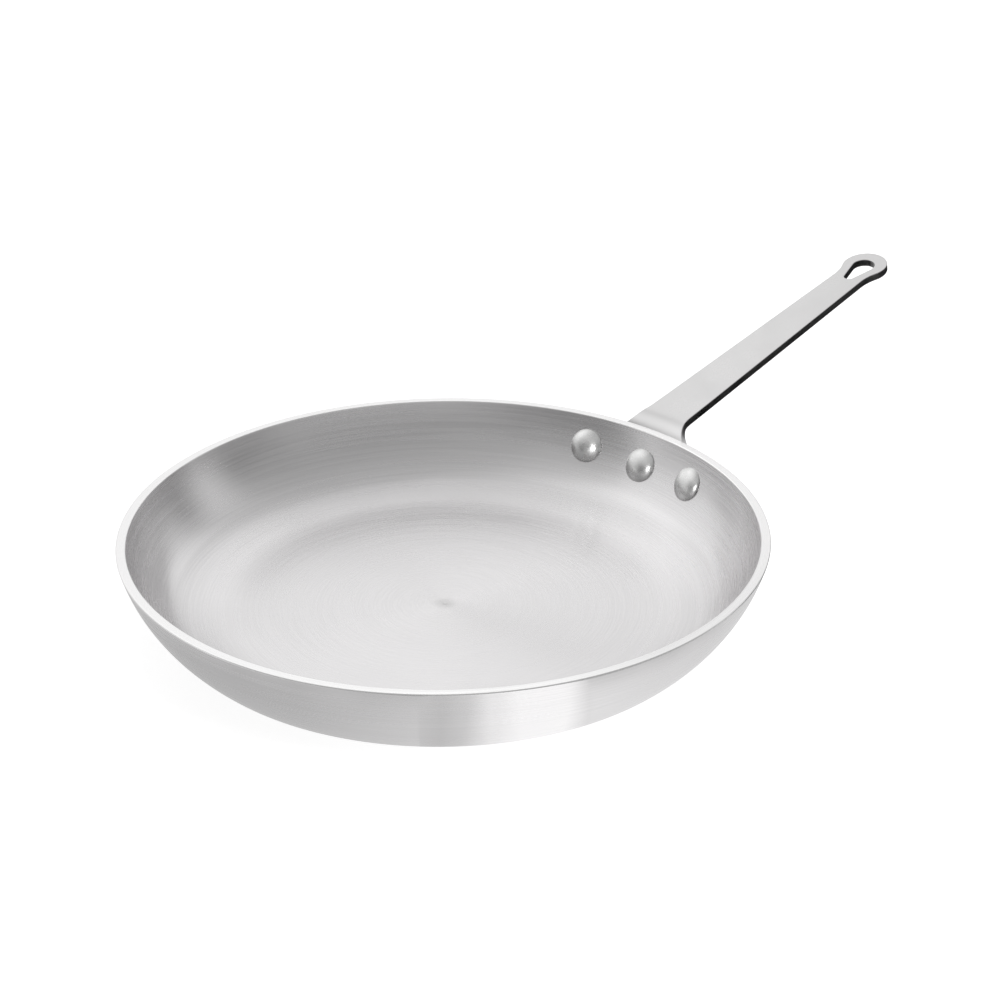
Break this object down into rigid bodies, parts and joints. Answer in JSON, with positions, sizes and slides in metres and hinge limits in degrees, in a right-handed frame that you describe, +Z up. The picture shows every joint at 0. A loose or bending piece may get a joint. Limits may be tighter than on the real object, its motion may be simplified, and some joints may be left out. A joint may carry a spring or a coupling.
{
  "type": "omelette pan",
  "caption": "Shallow round aluminium frying pan with a bulging wall and a flat steel strip handle, riveted on and ending in a hanging eye.",
  "frame": {"origin": "centre of the underside of the base", "axes": "+Z up, handle along +X, so the three rivets are on the +X side of the wall"},
  "size_m": [0.4923, 0.3048, 0.0876],
  "materials": {
    "pan": "satin, with fine turning marks",
    "handle": "satin plated",
    "rivets": "polished"
  },
  "bodies": {
    "root": {"pan_body": "pan", "handle": "handle", "rivet_left": "rivets", "rivet_centre": "rivets", "rivet_right": "rivets"}
  },
  "joints": []
}
